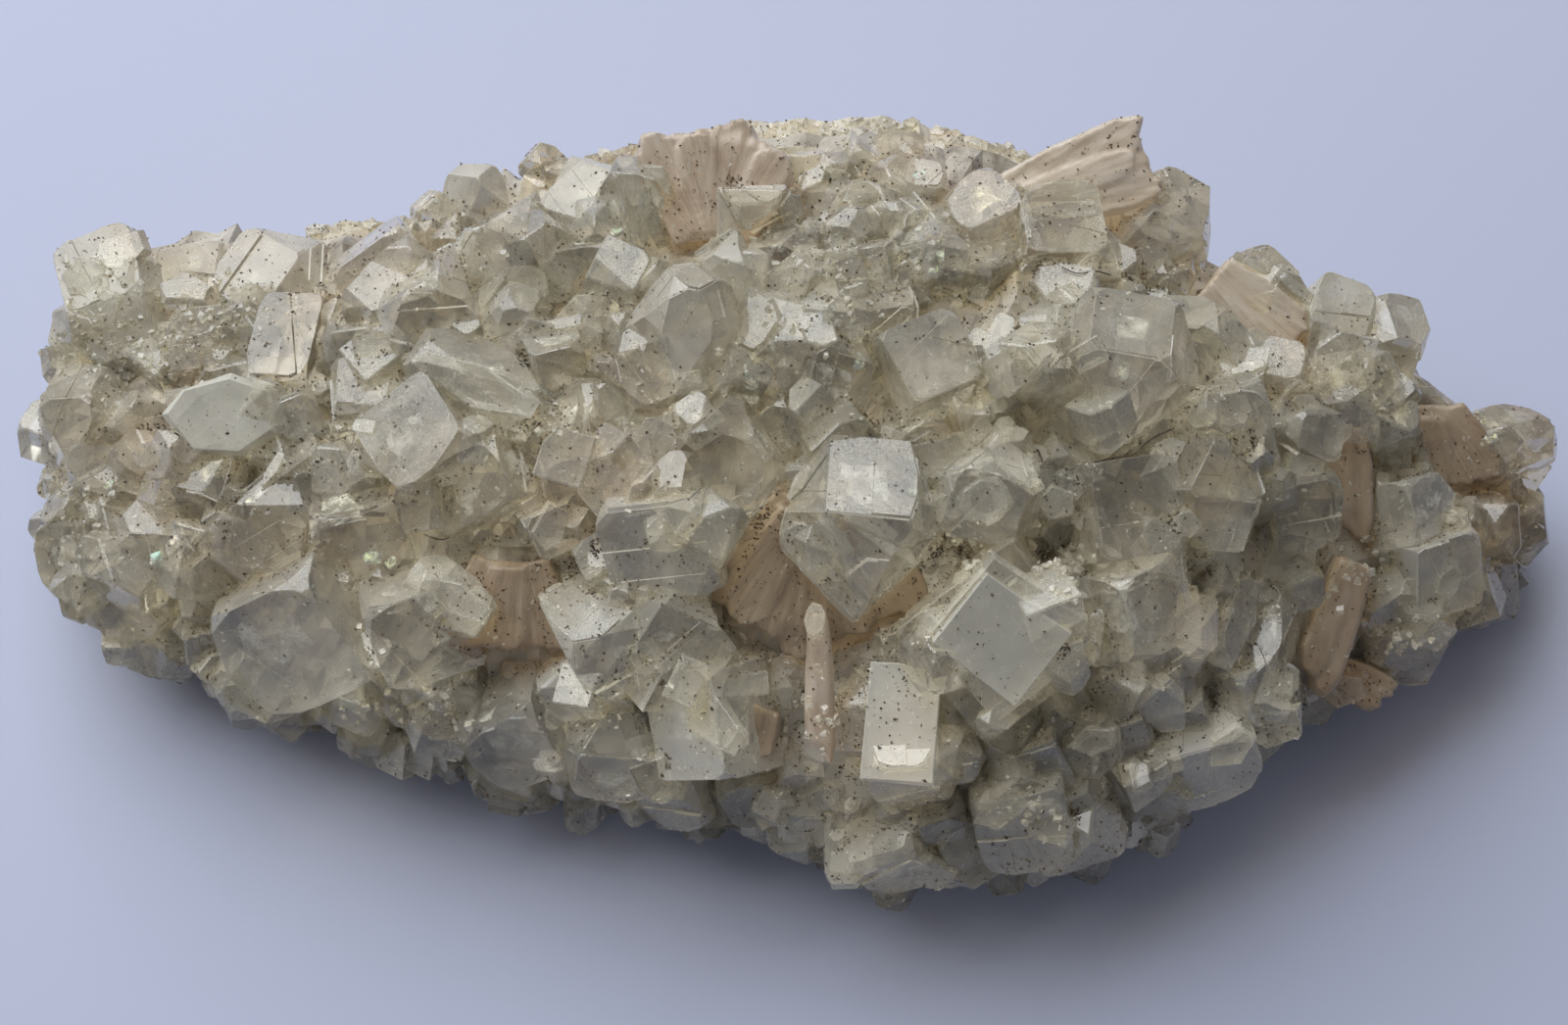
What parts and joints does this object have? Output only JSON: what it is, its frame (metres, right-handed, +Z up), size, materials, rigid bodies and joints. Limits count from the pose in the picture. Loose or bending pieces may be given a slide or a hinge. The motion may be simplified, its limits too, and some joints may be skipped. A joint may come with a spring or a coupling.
{
  "type": "apophyllite with stilbite mineral specimen",
  "caption": "Loose hand specimen: pale clear apophyllite crystals crowd a lump of cream rock, with peach stilbite sheaves and blades among them; lies on its flat broken base",
  "frame": {"origin": "under the middle of the specimen, on the flat surface that it lies on", "axes": "+X along the specimen towards its pointed right end, +Y towards its broken back, +Z up"},
  "size_m": [0.1414, 0.0705, 0.0394],
  "materials": {
    "rock": "chalky cream broken rock, rough and crumbly",
    "apophyllite": "clear to milky greyish-beige crystal with a glassy to pearly lustre",
    "stilbite": "peach to pink-tan, translucent, pearly, lined along its blades"
  },
  "bodies": {
    "root": {"matrix": "rock", "apophyllite_crust": "apophyllite", "stilbite_top_sheaf": "stilbite", "stilbite_back_blades": "stilbite", "stilbite_striated_blade": "stilbite", "stilbite_right_column": "stilbite", "stilbite_leaning_bar": "stilbite", "stilbite_right_patch": "stilbite", "stilbite_hollow_sheaf": "stilbite", "stilbite_front_rod": "stilbite", "stilbite_left_patch": "stilbite", "stilbite_front_chip": "stilbite", "stilbite_rim_blade": "stilbite"}
  },
  "joints": []
}
